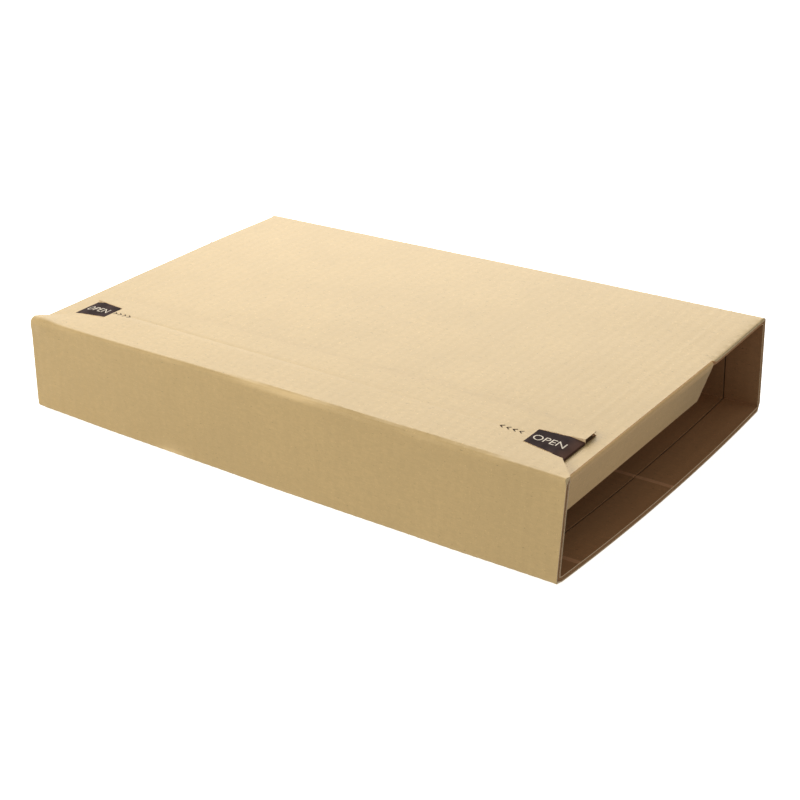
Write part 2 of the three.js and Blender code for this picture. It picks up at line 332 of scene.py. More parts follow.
def cut_sheet(outline, folds, grid, clearance=0.45, pitch=3.25):
    """Triangles of a flat sheet inside a closed outline. Folds are open lines that faces keep to."""
    sides = list(zip(outline, [*outline[1:], outline[0]]))
    corners = [p for a, b in sides for p in split_line(a, b, pitch)]
    edges = [(i, (i + 1) % len(corners)) for i in range(len(corners))]
    for line in folds:
        for a, b in zip(line, line[1:]):
            ring = [*split_line(a, b, pitch), tuple(b)]
            first = len(corners)
            corners += ring
            edges += [(first + i, first + i + 1) for i in range(len(ring) - 1)]
    keep = inside_outline(grid, outline)
    for a, b in [*sides, *((a, b) for line in folds for a, b in zip(line, line[1:]))]:
        keep &= distance_to_line(grid, a, b) > clearance
    points = corners + [tuple(p) for p in grid[keep]]
    flat, _, faces, _, _, _ = delaunay_2d_cdt([Vector(p) for p in points], edges, [], 0, 1e-5, False)
    flat = np.array([tuple(p) for p in flat])
    faces = np.array(faces)
    faces = faces[inside_outline(flat[faces].mean(axis=1), outline)]
    a, b, c = (flat[faces[:, i]] for i in range(3))
    area = (b[:, 0] - a[:, 0]) * (c[:, 1] - a[:, 1]) - (b[:, 1] - a[:, 1]) * (c[:, 0] - a[:, 0])
    faces[area < 0] = faces[area < 0][:, ::-1]
    return flat, faces[np.abs(area) > 1e-6]


def rim_of(faces):
    """Edges with a face on one side only, in the order that keeps the sheet on their left."""
    seen = {}
    for a, b, c in faces:
        for edge in ((a, b), (b, c), (c, a)):
            seen[edge] = True
    return [(a, b) for a, b in seen if (b, a) not in seen]


def solid_sheet(name, flat, faces, place, kind_of, groove_depth, liner, materials, wear_and_painted_light_of):
    """A board with two faces and cut edges. place(points, share of thickness) puts them in the box."""
    rim = rim_of(faces)
    used = np.unique(faces)
    index = -np.ones(len(flat), int)
    index[used] = np.arange(len(used))
    sheet = flat[used]
    faces = index[faces]
    rim = [(index[a], index[b]) for a, b in rim]
    kinds = {edge: kind_of((sheet[edge[0]] + sheet[edge[1]]) / 2) for edge in rim}

    inward = np.zeros_like(sheet)
    for a, b in rim:
        step = sheet[b] - sheet[a]
        step = step / max(np.linalg.norm(step), 1e-9)
        normal = np.array((-step[1], step[0]))
        inward[a] += normal
        inward[b] += normal
    length = np.linalg.norm(inward, axis=1)
    inward[length > 0] /= length[length > 0][:, None]

    on_rim = sorted({v for edge in rim for v in edge})
    slot_of = {v: i for i, v in enumerate(on_rim)}
    rim_flat = sheet[on_rim]
    rim_in = inward[on_rim]
    depth_of = {v: 0.0 for v in on_rim}
    for (a, b), kind in kinds.items():
        depth = groove_depth.get(kind, 0.0)
        depth_of[a] = max(depth_of[a], depth)
        depth_of[b] = max(depth_of[b], depth)
    depths = np.array([depth_of[v] for v in on_rim])[:, None]

    count = len(sheet)
    groove = rim_flat + rim_in * depths
    skin = liner / BOARD
    points = np.concatenate([
        place(sheet, 0.0), place(sheet, 1.0), place(rim_flat, skin), place(groove, skin),
        place(groove, 1 - skin), place(rim_flat, 1 - skin)])

    polygons = [tuple(f) for f in faces]
    polygons += [tuple(count + v for v in f[::-1]) for f in faces]
    slots = [OUTSIDE] * len(faces) + [INSIDE] * len(faces)
    ring = 2 * count
    step = len(on_rim)

    def lane(v):
        i = slot_of[v]
        return [v, ring + i, ring + step + i, ring + 2 * step + i, ring + 3 * step + i, count + v]

    arriving = {}
    leaving = {}
    for (a, b), kind in kinds.items():
        leaving[a] = kind
        arriving[b] = kind
        lane_a, lane_b = lane(a), lane(b)
        if groove_depth.get(kind, 0.0) > 0:
            for i in range(5):
                polygons.append((lane_b[i], lane_a[i], lane_a[i + 1], lane_b[i + 1]))
                slots.append(EDGE_BANDS.get(kind, PLAIN_BANDS)[i])
        else:
            polygons.append((lane_b[0], lane_a[0], lane_a[5], lane_b[5]))
            # A lip's cut edge takes the darker inside finish: painted shade where it lies in shadow.
            slots.append(INSIDE if kind == "lip" else CUT_EDGE)
    for v in on_rim:
        came = groove_depth.get(arriving.get(v), 0.0) > 0
        goes = groove_depth.get(leaving.get(v), 0.0) > 0
        if came and not goes:
            polygons.append(tuple(lane(v)))
            slots.append(CUT_EDGE)
        if goes and not came:
            polygons.append(tuple(lane(v)[::-1]))
            slots.append(CUT_EDGE)
    wear = np.concatenate([*wear_and_painted_light_of(sheet), np.zeros(4 * step)])
    return make_mesh(name, points, polygons, slots, materials, wear)


def add_object(name, data):
    """An object at the origin, in the scene's own collection."""
    made = bpy.data.objects.new(name, data)
    bpy.context.scene.collection.objects.link(made)
    return made


def make_mesh(name, points, polygons, slots, materials, wear=None):
    """A mesh object from points in millimetres. Wear is above 0 where rubbed light or given a painted
    highlight, below 0 where darker, mostly from painted shade.
    """
    mesh = bpy.data.meshes.new(name)
    mesh.from_pydata((np.asarray(points) * MM).tolist(), [], [tuple(int(i) for i in p) for p in polygons])
    for material in materials:
        mesh.materials.append(material)
    if slots is not None:
        mesh.polygons.foreach_set("material_index", np.array(slots, np.int32))
    if wear is not None:
        worn_and_painted_light = mesh.attributes.new("wear", "FLOAT", "POINT")
        worn_and_painted_light.data.foreach_set("value", np.asarray(wear, np.float32))
    mesh.validate()
    used = np.zeros(len(mesh.vertices), bool)
    for polygon in mesh.polygons:
        used[list(polygon.vertices)] = True
    if not used.all():
        work = bmesh.new()
        work.from_mesh(mesh)
        work.verts.ensure_lookup_table()
        bmesh.ops.delete(work, geom=[work.verts[i] for i in np.flatnonzero(~used)], context="VERTS")
        work.to_mesh(mesh)
        work.free()
    mesh.shade_smooth()
    mesh.set_sharp_from_angle(angle=SMOOTH_ANGLE)
    mesh.update()
    return add_object(name, mesh)


def unevenness(x, y, seed):
    """A slow, gentle wave over a panel, between about -1 and 1."""
    draw = np.random.default_rng(seed)
    total = np.zeros_like(x)
    for _ in range(7):
        heading = draw.uniform(0, math.tau)
        length = draw.uniform(45, 150)
        phase = draw.uniform(0, math.tau)
        total += np.sin((x * math.cos(heading) + y * math.sin(heading)) * math.tau / length + phase)
    return total / 3.5


def smooth_step(value, low, high):
    """0 at low and 1 at high, with a soft start and end."""
    share = np.clip((value - low) / (high - low), 0, 1)
    return share * share * (3 - 2 * share)


def between(value, low, high):
    """Where a value lies between two others."""
    return (value > low) & (value < high)


def on_tear_line(along, across):
    """A place measured along and across the tear line, in the flat sheet's coordinates."""
    x = along * math.cos(TEAR_LINE_SKEW) + across * math.sin(TEAR_LINE_SKEW)
    y = TEAR_LINE_Y - along * math.sin(TEAR_LINE_SKEW) + across * math.cos(TEAR_LINE_SKEW)
    return x, CLOSURE_START + y - (FRONT_Y + FOLD_RADIUS)


def from_tear_line(flat):
    """Distances along and across the tear line of places in the flat sheet."""
    y = flat[:, 1] - CLOSURE_START + FRONT_Y + FOLD_RADIUS - TEAR_LINE_Y
    x = flat[:, 0]
    along = x * math.cos(TEAR_LINE_SKEW) - y * math.sin(TEAR_LINE_SKEW)
    across = x * math.sin(TEAR_LINE_SKEW) + y * math.cos(TEAR_LINE_SKEW)
    return along, across


def tab_half_width(along):
    """Half the width of a finger tab, which widens towards the closure flap's side."""
    return TAB_INNER_HALF + (np.abs(along) - TAB_INNER_X) * (TAB_OUTER_HALF - TAB_INNER_HALF) / TAB_TAPER_RUN


def blank_depths(flat):
    """How deep each face of the blank lies under its true outer face, as (outer, inner)."""
    settings = bpy.context.scene.mailer_board
    x, run = flat[:, 0], flat[:, 1]
    pitch = settings.flute_pitch / MM
    ripple = settings.washboard / MM * np.cos(x * math.tau / pitch)
    flatness = smooth_step(np.abs(x), END_X + 0.5, END_X - 14)
    outer = -ripple - 0.1 * unevenness(x, run, 5) * flatness
    inner = BOARD + ripple * 0.8 - 0.05 * unevenness(x, run, 9) * flatness

    closure = run >= CLOSURE_START
    panel_under = run <= CLOSURE_RUN + 2
    inner = np.where(closure, np.minimum(inner, BOARD + 0.02), inner)
    outer = np.where(panel_under, np.maximum(outer, -0.02), outer)

    along, across = from_tear_line(flat)
    tab = closure & (np.abs(along) > TAB_INNER_X) & (np.abs(across) < tab_half_width(along) + 0.05)
    bend_start = CLOSURE_SIDE - TAB_BENT_LENGTH
    drop = TAB_BENT_DROP * smooth_step(np.abs(along), bend_start - 0.8, CLOSURE_SIDE + 1.6)
    outer = outer + np.where(tab, drop, 0.0)
    sunk = smooth_step(np.abs(x), 122, CLOSURE_SIDE) * smooth_step(run, CLOSURE_START + 2, CLOSURE_START + 14)
    outer = outer + np.where(closure, CLOSURE_SIDE_SINK * sunk, 0.0)

    line = closure & (np.abs(across) < 0.1) & (np.abs(along) < TAB_INNER_X + 0.1)
    outer = outer + np.where(line, 0.03 + 0.08 * smooth_step(x, 70, -60), 0.0)

    crushed = smooth_step(x, *CRUSHED_FROM) * smooth_step(x, *CRUSHED_TO) * (0.6 + 0.12 * np.sin(x / 7.0))
    upper_fold = 1.2 + 1.6 * smooth_step(x, -120, -END_X) + 1.0 * np.exp(-((x + 45) / 35) ** 2)
    radii = (1.6, 1.8, 1.6, upper_fold)
    for start, radius, flat_share in zip(FOLD_STARTS, radii, (0.0, 0.0, 0.0, crushed)):
        turn = fold_turn(run, start)
        bulge = fold_bulge(np.maximum(turn, 0), radius, flat_share)
        outer = outer - np.where(turn >= 0, bulge, 0.0)
    hump = np.exp(-((x - HUMP_X) / 9) ** 2) * np.exp(-((run - CLOSURE_START + 1) / 5) ** 2)
    outer = outer - HUMP_HEIGHT * hump

    pressed_and_painted_shade = between(run, PANEL_RUN + ARC, FRONT_START + FRONT_RUN)
    inner = inner - np.where(pressed_and_painted_shade & (np.abs(np.abs(x) - CREASE_X) < 0.1), CREASE_DEPTH, 0.0)
    bottom = between(run, BOTTOM_START, BOTTOM_START + BOTTOM_RUN)
    for ridge in RIDGE_RUNS:
        away = np.abs(run - ridge)
        inner = inner + np.where(bottom, RIDGE_HEIGHT * np.clip(1 - away / RIDGE_HALF_WIDTH, 0, 1), 0.0)

    lip = (np.abs(x) > END_X - 8) & (run < LIP_END + 0.01)
    from_axis = np.clip(np.abs(x) - HINGE_X, ROOT_GAP - HALF_BOARD, HALF_BOARD - ROOT_GAP)
    over_root = HALF_BOARD + ROOT_GAP - np.sqrt(HALF_BOARD ** 2 - from_axis ** 2)
    lip_depth = np.where(np.abs(x) > 173.05, over_root, BOARD - 1.7 * smooth_step(np.abs(x), 169, 173.05))
    inner = np.where(lip, lip_depth, inner)
    outer = np.where(lip & (np.abs(x) > 171), np.minimum(outer, 0.0), outer)
    thin = (np.abs(x) > END_X - 5) & between(run, LIP_END, PANEL_RUN)
    inner = inner - np.where(thin, 0.5 * np.clip((np.abs(x) - (END_X - 5)) / 5, 0, 1), 0.0)
    past_axis = np.clip(np.abs(x) - HINGE_X, 0, HALF_BOARD)
    outer = outer + np.where(thin, 1.4 * (1 - np.sqrt(1 - (past_axis / HALF_BOARD) ** 2)), 0.0)
    return outer, inner


def blank_wear_and_painted_light(flat):
    """Where the blank is rubbed light or darker, for its outer and inner faces: rubbed folds and scuffs
    outside, a closure flap a little darker towards its front fold, painted shade in the inner creases and on
    the inner back wall, painted highlights on the inner ridges.
    """
    x, run = flat[:, 0], flat[:, 1]
    outer = np.zeros_like(x)
    patchy = 0.6 + 0.4 * np.sin(x / 9.0) * np.sin(x / 23.0 + 1.0)
    for start in FOLD_STARTS:
        outer += 0.35 * patchy * np.exp(-((run - start - ARC / 2) / (0.4 * ARC)) ** 2)
    scuff = np.exp(-((x - SCUFF_X) / 11) ** 2) * np.exp(-((run - FRONT_START + 1.2) / 1.8) ** 2)
    outer += 0.5 * scuff
    crushed = smooth_step(x, *RUBBED_FROM) * smooth_step(x, *RUBBED_TO)
    outer += 0.5 * crushed * np.exp(-((run - CLOSURE_START + 0.45 * ARC) / (0.4 * ARC)) ** 2)
    outer -= 0.06 * smooth_step(run, SHEET_END + 1, CLOSURE_START) * (run > CLOSURE_START)
    pressed_and_painted_shade = between(run, PANEL_RUN + ARC, FRONT_START + FRONT_RUN)
    # Painted shade: the inner creases are darkened where shade falls in them.
    inner = np.where(pressed_and_painted_shade & (np.abs(np.abs(x) - CREASE_X) < 0.3), -1.0, 0.0)
    # Painted shade: the inner back wall is darkened, where the box's inside is in shade.
    inner = inner - np.where(between(run, BACK_START, BACK_START + BACK_RUN), 0.2, 0.0)
    bottom = between(run, BOTTOM_START, BOTTOM_START + BOTTOM_RUN)
    # Painted highlight: the ridges on the inner bottom are lightened where they catch the light.
    for ridge in RIDGE_RUNS:
        inner = inner + np.where(bottom & (np.abs(run - ridge) < 1.2), 0.9, 0.0)
    return outer, inner


def flap_wear_and_painted_shade(flat):
    """End flaps are rubbed a little along their fold, and darkened by painted shade towards their back end."""
    rubbed = 0.45 * np.exp(-((flat[:, 1] - 0.6 * FLAP_ROOT) / (0.6 * FLAP_ROOT)) ** 2)
    to_back = smooth_step(flat[:, 0], -40, FLAP_BACK)
    # Painted shade: the back end of each flap, deeper in the box, is darkened.
    painted_back_shade = 0.45 * to_back * smooth_step(flat[:, 1], FLAP_ROOT, 2 * FLAP_ROOT)
    return rubbed - painted_back_shade, np.zeros(len(flat))


def place_blank(flat, share):
    """Puts places of the flat blank in the folded box, at a share of the board's thickness."""
    outer, inner = blank_depths(flat)
    depth = outer + (inner - outer) * share
    y, z, out_y, out_z = wrap_section(flat[:, 1])
    return settled(flat[:, 0], y - out_y * depth, z - out_z * depth, flat[:, 1])


def settled(x, y, z, run):
    """The folded sheet as it came to rest: flap to the right, top crowned, bottom raised and bowed."""
    across = x / END_X
    bottom = np.clip((run - BOTTOM_START) / BOTTOM_RUN, 0, 1)
    front = np.clip((run - FRONT_START) / FRONT_RUN, 0, 1)
    on_bottom = between(run, BACK_START + BACK_RUN, FRONT_START)
    bow = np.where(on_bottom, BOTTOM_BOW * across * np.clip(1 - (y / BACK_Y) ** 2, 0, 1), 0.0)
    x = x + LEAN * (-bottom + 2 * front) + bow
    height = np.clip(z / PANEL_TOP, 0, 1)
    y_share = np.clip(y / BACK_Y, -1, 1)
    by_corner = np.where(y < 0, np.where(x < 0, 1.0, 0.65), 0.2)
    low = CORNER_LIFT * across ** 2 * y_share ** 2 * by_corner * (1 - height)
    crown = TOP_CROWN * (1 - across ** 2) * (0.65 - 0.35 * y_share) * height
    back_corner = (0.2 + 1.2 * across) * smooth_step(y, 46, BACK_Y) * height
    z = z + low + crown + back_corner
    return np.stack([x, y, z], axis=1)


def sheet_grid(pitch):
    """Places over the flat blank: close together across the flutes and in the folds."""
    even = np.arange(-int(END_X / pitch), int(END_X / pitch) + 1) * pitch
    creases = [s * CREASE_X + d for s in (-1, 1) for d in (-0.6, 0.0, 0.6)]
    lips = [s * x for s in (-1, 1) for x in (169, 171, 173.05, 173.4, 173.9)]
    columns = np.unique(np.round(np.concatenate([even, creases, lips]), 4))
    rows = []
    for start, run in zip(STARTS, RUNS):
        rows += list(np.linspace(start, start + run, max(2, int(round(run / 7.5)) + 1)))
    for start in FOLD_STARTS:
        rows += list(start + np.arange(1, 12) / 12 * ARC)
    for ridge in RIDGE_RUNS:
        rows += [ridge + d for d in (-RIDGE_HALF_WIDTH, -1.1, 0.0, 1.1, RIDGE_HALF_WIDTH)]
    rows = np.unique(np.round(rows, 4))
    grid_x, grid_run = np.meshgrid(columns, rows)
    return np.stack([grid_x.ravel(), grid_run.ravel()], axis=1)


def blank_outline():
    """The flat blank's corners, with its end flaps left off."""
    right = [
        (LIP_X, 0.0), (LIP_X, LIP_END), (END_X, LIP_END), (END_X, CLOSURE_START),
        (CLOSURE_SIDE, CLOSURE_START + CLOSURE_CHAMFER), (CLOSURE_SIDE, SHEET_END),
    ]
    return right + [(-x, run) for x, run in reversed(right)]


def tab_slit(side, edge):
    """One cut beside a finger tab, as a thin closed outline that opens at the flap's side."""
    half = SLIT_HALF_WIDTH
    reach = CLOSURE_SIDE + 4
    inner = edge * TAB_INNER_HALF
    outer = edge * float(tab_half_width(reach))
    return [
        on_tear_line(side * TAB_INNER_X, inner - half), on_tear_line(side * reach, outer - half),
        on_tear_line(side * reach, outer + half), on_tear_line(side * TAB_INNER_X, inner + half),
    ]


def clip_to_side(slit, side):
    """Ends a slit on the closure flap's side, so that it opens there."""
    a, b, c, d = slit

    def meet(p, q):
        share = (side * CLOSURE_SIDE - p[0]) / (q[0] - p[0])
        return (side * CLOSURE_SIDE, p[1] + (q[1] - p[1]) * share)

    return [a, meet(a, b), meet(d, c), d]


def blank_edge_kind(place):
    """What a stretch of the blank's rim looks like."""
    x, run = place
    if run < 0.01 or run > SHEET_END - 0.01:
        return "flute_ends"
    if run < PANEL_RUN + 0.01:
        return "lip"
    if abs(abs(x) - END_X) < 0.01:
        return "open_end"
    if run > CLOSURE_START and abs(abs(x) - CLOSURE_SIDE) < 0.01:
        return "flap_side"
    return "plain"


def build_blank():
    """The folded blank, cut flat and laid round the box."""
    settings = bpy.context.scene.mailer_board
    pitch = settings.flute_pitch / MM / 4
    outline = blank_outline()
    slits = [clip_to_side(tab_slit(side, edge), side) for side in (-1, 1) for edge in (-1, 1)]
    notched = outline_with_slits(outline, slits)
    folds = [[on_tear_line(-TAB_INNER_X + 1, across), on_tear_line(TAB_INNER_X - 1, across)]
             for across in (-0.45, 0.0, 0.45)]
    folds += [[(x, LIP_END + 0.4), (x, PANEL_RUN - 0.4)] for x in (-174.8, -175.5, 174.8, 175.5)]
    flat, faces = cut_sheet(notched, folds, sheet_grid(pitch))
    materials = board_materials()
    grooves = {"flute_ends": 2.4, "open_end": 0.5, "flap_side": 0.8}
    piece = solid_sheet("folded_sheet", flat, faces, place_blank, blank_edge_kind, grooves,
                        settings.liner / MM, materials, blank_wear_and_painted_light)
    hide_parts("folded_blank")
    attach(piece, "wrap")


def outline_with_slits(outline, slits):
    """The sheet's outline with each slit taken into it as a narrow notch from the closure flap's side."""
    result = []
    for a, b in zip(outline, [*outline[1:], outline[0]]):
        result.append(a)
        on_side = abs(abs(a[0]) - CLOSURE_SIDE) < 0.01 and abs(a[0] - b[0]) < 0.01
        if not on_side:
            continue
        notches = [(slit[1], slit[0], slit[3], slit[2]) for slit in slits if slit[0][0] * a[0] > 0]
        upward = b[1] > a[1]
        notches.sort(key=lambda notch: notch[0][1], reverse=not upward)
        for notch in notches:
            result += notch if (notch[0][1] < notch[3][1]) == upward else notch[::-1]
    return result


def feed(tree, socket, value):
    """Links another node's socket to an input, or sets the input's own value."""
    if isinstance(value, bpy.types.NodeSocket):
        tree.links.new(value, socket)
    else:
        socket.default_value = value


class NodeTree:
    """Short calls for adding nodes to a tree."""

    def new(self, kind, inputs=(), **settings):
        """A node with its settings set and its inputs filled or linked."""
        node = self.tree.nodes.new(kind)
        for key, value in settings.items():
            setattr(node, key, value)
        for key, value in dict(inputs).items():
            for item in value if isinstance(value, list) else [value]:
                feed(self.tree, node.inputs[key], item)
        return node

    def math(self, operation, a, b=0.0):
        return self.new("ShaderNodeMath", {0: a, 1: b}, operation=operation).outputs[0]


class Nodes(NodeTree):
    """Short calls for building one material's nodes."""

    def __init__(self, name):
        self.material = bpy.data.materials.new(name)
        self.material.use_nodes = True
        self.tree = self.material.node_tree
        self.shader = self.tree.nodes["Principled BSDF"]
        self.place = self.new("ShaderNodeTexCoord").outputs["Object"]

    def noise(self, scale, detail=4.0, roughness=0.55, stretch=(1, 1, 1), shift=(0, 0, 0)):
        place = self.new("ShaderNodeMapping", {"Vector": self.place, "Scale": stretch, "Location": shift})
        node = self.new("ShaderNodeTexNoise", {
            "Vector": place.outputs[0], "Scale": scale, "Detail": detail, "Roughness": roughness})
        return node.outputs["Fac"]

    def ramp(self, value, low, high, to_low=0.0, to_high=1.0):
        node = self.new("ShaderNodeMapRange", {
            "Value": value, "From Min": low, "From Max": high, "To Min": to_low, "To Max": to_high},
            interpolation_type="SMOOTHSTEP")
        return node.outputs["Result"]

    def mix(self, share, a, b):
        node = self.new("ShaderNodeMix", data_type="RGBA")
        for index, value in ((0, share), (6, a), (7, b)):
            feed(self.tree, node.inputs[index], (*value, 1.0) if isinstance(value, tuple) else value)
        return node.outputs[2]

    def surface(self, **values):
        """Sets the shader's own numbers."""
        for name, value in values.items():
            self.shader.inputs[name.replace("_", " ")].default_value = value

    def colour(self, value):
        self.tree.links.new(value, self.shader.inputs["Base Color"])

    def bump(self, height, distance, strength):
        node = self.new("ShaderNodeBump", {"Height": height, "Distance": distance, "Strength": strength})
        self.tree.links.new(node.outputs[0], self.shader.inputs["Normal"])


def tone(base, factor):
    """A colour made lighter or darker."""
    return tuple(np.clip(np.array(base) * factor, 0, 1))


def kraft(name, base, strength=1.0, roughness=0.58, sheen=0.12, gloss=0.4):
    """Uncoated kraft liner: cloudy pulp, fibres along the sheet, light and dark flecks."""
    nodes = Nodes(name)
    clouds = nodes.noise(22.0, 3.0, 0.6)
    pulp = nodes.noise(420.0, 3.0, 0.65)
    fibres = nodes.noise(1.0, 3.0, 0.6, stretch=(160, 1100, 1100))
    flecks = nodes.noise(1.0, 2.0, 0.5, stretch=(420, 1500, 1500), shift=(7, 3, 1))
    light_flecks = nodes.noise(1.0, 2.0, 0.5, stretch=(1300, 520, 1300), shift=(2, 9, 4))
    dark, light = tone(base, 1 - 0.035 * strength), tone(base, 1 + 0.03 * strength)
    colour = nodes.mix(nodes.ramp(clouds, 0.3, 0.7), dark, light)
    marks = (
        (pulp, 0.3, 0.7, 0.45, 0.86), (fibres, 0.35, 0.7, 0.35, 0.84),
        (flecks, 0.66, 0.76, 0.75, 0.5), (light_flecks, 0.64, 0.74, 0.75, 1.22),
    )
    for pattern, low, high, most, factor in marks:
        colour = nodes.mix(nodes.ramp(pattern, low, high, 0.0, most * strength), colour, tone(base, factor))
    # Positive values lighten the liner where it is rubbed and where a highlight is painted; negative values
    # darken it, mostly as painted shade.
    wear = nodes.new("ShaderNodeAttribute", attribute_name="wear").outputs["Fac"]
    worn_and_painted_light = nodes.ramp(wear, 0.0, 1.0)
    pressed_and_painted_shade = nodes.ramp(wear, 0.0, -1.0)
    colour = nodes.mix(worn_and_painted_light, colour, tone(base, (1.35, 1.4, 1.6)))
    colour = nodes.mix(pressed_and_painted_shade, colour, tone(base, 0.3))
    nodes.colour(colour)
    nodes.surface(Roughness=roughness, Specular_IOR_Level=gloss, Sheen_Weight=sheen, Sheen_Roughness=0.45)
    grain = nodes.math("ADD", nodes.math("MULTIPLY", pulp, 0.6), nodes.math("MULTIPLY", fibres, 0.4))
    nodes.bump(grain, 0.00012, 0.5)
    return nodes.material


def cut_edge(name, base):
    """Torn, fibrous paper edge."""
    nodes = Nodes(name)
    fuzz = nodes.noise(1400.0, 4.0, 0.7)
    nodes.colour(nodes.mix(nodes.ramp(fuzz, 0.3, 0.7), tone(base, 0.72), tone(base, 1.1)))
    nodes.surface(Roughness=0.95, Specular_IOR_Level=0.0)
    nodes.bump(fuzz, 0.0002, 0.6)
    return nodes.material


@cache
def board_materials():
    """The board's six finishes, in the order of their numbers."""
    settings = bpy.context.scene.mailer_board
    return (
        kraft("kraft_outside", settings.outside_colour),
        kraft("kraft_inside", settings.inside_colour, 1.2, 0.9, 0.0, 0.15),
        cut_edge("kraft_cut_edge", settings.edge_colour),
        # The groove finish is a dark copy of the fluting: painted shade in the recess of a cut edge.
        cut_edge("kraft_groove_painted_shade", settings.shaded_core_colour),
        cut_edge("kraft_fluting", tone(settings.shaded_core_colour, 2.6)),
        # The end flaps' finish is a warmer copy of the outside liner: painted warm light from the box's
        # inside.
        kraft("kraft_flap_painted_light", settings.flap_painted_light_colour, 1.0, 0.75, 0.0, 0.15),
    )


def flap_depths(flat):
    """How deep each face of an end flap lies, with ripples that run along the box's depth."""
    settings = bpy.context.scene.mailer_board
    ripple = settings.washboard / MM * np.cos(flat[:, 1] * math.tau / (settings.flute_pitch / MM))
    return -ripple, BOARD + ripple * 0.8


def flap_placer(side):
    """Puts places of a flat end flap, as (Y, distance from the top of its round root), at its open end."""
    radius = HALF_BOARD
    root = FLAP_ROOT

    def place(flat, share):
        y, run = flat[:, 0], flat[:, 1]
        outer, inner = flap_depths(flat)
        depth = outer + (inner - outer) * share
        turn = np.clip(run / root, 0, 1) * math.pi / 2
        reach = np.clip(run - root, 0, None)
        local_x = np.where(run < root, (radius - depth) * np.sin(turn), radius - depth)
        local_z = np.where(run < root, (radius - depth) * np.cos(turn), -reach)
        if share > 0.5:
            local_x = np.where(run < root, -radius * np.sin(turn), local_x)
            local_z = np.where(run < root, radius * np.cos(turn), local_z)
        angle = FLAP_SLANT
        x = local_x * math.cos(angle) + local_z * math.sin(angle)
        z = -local_x * math.sin(angle) + local_z * math.cos(angle)
        return np.stack([side * (HINGE_X + x), y, HINGE_Z + z], axis=1)

    return place


def build_flap(side, name, node, body):
    """An end flap: a round root on the fold line, and a slanting leaf below it."""
    settings = bpy.context.scene.mailer_board
    root = FLAP_ROOT
    reach = root + FLAP_LENGTH - HALF_BOARD
    outline = [(FLAP_FRONT, 0.0), (FLAP_BACK, 0.0), (FLAP_BACK, root + FLAP_TAPER_START),
               (FLAP_BACK - FLAP_TAPER, reach), (FLAP_FRONT, reach)]
    bends = [[(FLAP_FRONT, run), (FLAP_BACK, run)] for run in np.linspace(0, root, 9)[1:]]
    rows = np.linspace(root, reach, 17)[1:]
    columns = np.arange(FLAP_FRONT, FLAP_BACK, 6.0)
    grid_y, grid_run = np.meshgrid(columns, rows)
    grid = np.stack([grid_y.ravel(), grid_run.ravel()], axis=1)
    flat, faces = cut_sheet(outline, bends, grid, clearance=0.05, pitch=0.9)

    def kind(place):
        run = place[1]
        if run > reach - 0.01:
            return "lower_edge"
        return "plain" if run < root + FLAP_TAPER_START else "flute_ends"

    finishes = board_materials()
    grooves = {"lower_edge": 1.4, "flute_ends": 2.0}
    # The flap's outside takes that warmer finish with its painted light.
    piece = solid_sheet(name, flat, faces, flap_placer(side), kind, grooves, settings.liner / MM,
                        [finishes[FLAP_OUTSIDE], *finishes[INSIDE:FLAP_OUTSIDE]], flap_wear_and_painted_shade)
    face_outwards(piece)
    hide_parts(node)
    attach(piece, body)


def face_outwards(piece):
    """Merges doubled points and turns every face outwards."""
    work = bmesh.new()
    work.from_mesh(piece.data)
    bmesh.ops.remove_doubles(work, verts=work.verts, dist=1e-7)
    bmesh.ops.recalc_face_normals(work, faces=work.faces)
    work.to_mesh(piece.data)
    work.free()
    piece.data.set_sharp_from_angle(angle=SMOOTH_ANGLE)


def closed_piece(name, points, polygons, finish):
    """A closed mesh of one finish, with all its faces outwards."""
    piece = make_mesh(name, points, polygons, None, [finish])
    face_outwards(piece)
    return piece


def place_on_closure(x, y, height):
    """Lays places a little above the closure flap. Past its side they turn down over the edge."""
    over = np.clip(np.abs(x) - CLOSURE_SIDE, 0, None)
    held = np.sign(x) * np.minimum(np.abs(x), CLOSURE_SIDE - 0.02)
    flat = np.stack([held, CLOSURE_START + y - (FRONT_Y + FOLD_RADIUS)], axis=1)
    outer, _ = blank_depths(flat)
    face_y, face_z, out_y, out_z = wrap_section(flat[:, 1])
    lifted = height - outer
    points = settled(held, face_y + out_y * lifted, face_z + out_z * lifted, flat[:, 1])
    points[:, 0] += np.sign(x) * np.where(over > 0, height + 0.02, 0.0)
    points[:, 2] -= over
    return points


@cache
def ink_finish():
    """Matt ink that the liner's pulp shows through here and there, browned towards the tabs' ends."""
    nodes = Nodes("tab_ink")
    base = bpy.context.scene.mailer_print.ink_colour
    pulp = nodes.noise(900.0, 4.0, 0.7)
    cloud = nodes.noise(140.0, 2.0, 0.5, shift=(4, 4, 4))
    colour = nodes.mix(nodes.ramp(cloud, 0.3, 0.7), tone(base, 0.8), tone(base, 1.5))
    colour = nodes.mix(nodes.ramp(pulp, 0.66, 0.8, 0.0, 0.5), colour, (0.16, 0.12, 0.08))
    from_middle = nodes.math("ABSOLUTE", nodes.new("ShaderNodeSeparateXYZ", {0: nodes.place}).outputs[0])
    fold = (CLOSURE_SIDE - TAB_BENT_LENGTH) * MM
    ragged = nodes.math("ADD", from_middle, nodes.math("MULTIPLY", cloud, 0.004))
    thumbed = nodes.ramp(ragged, fold + 0.004, fold + 0.0115, 0.0, 0.5)
    colour = nodes.mix(thumbed, colour, (0.13, 0.06, 0.035))
    nodes.colour(colour)
    nodes.surface(Roughness=0.85, Specular_IOR_Level=0.06)
    nodes.bump(pulp, 0.00008, 0.4)
    return nodes.material


@cache
def lettering_finish():
    """Bare light liner left clear of ink in the shape of the letters."""
    nodes = Nodes("tab_lettering")
    pulp = nodes.noise(1100.0, 3.0, 0.6)
    nodes.colour(nodes.mix(pulp, (0.62, 0.52, 0.38), (0.86, 0.78, 0.66)))
    nodes.surface(Roughness=0.85)
    nodes.bump(pulp, 0.00005, 0.3)
    return nodes.material


def tab_centre_y(x):
    """Where the tear line lies at a place along the box."""
    return TEAR_LINE_Y - x * math.tan(TEAR_LINE_SKEW)


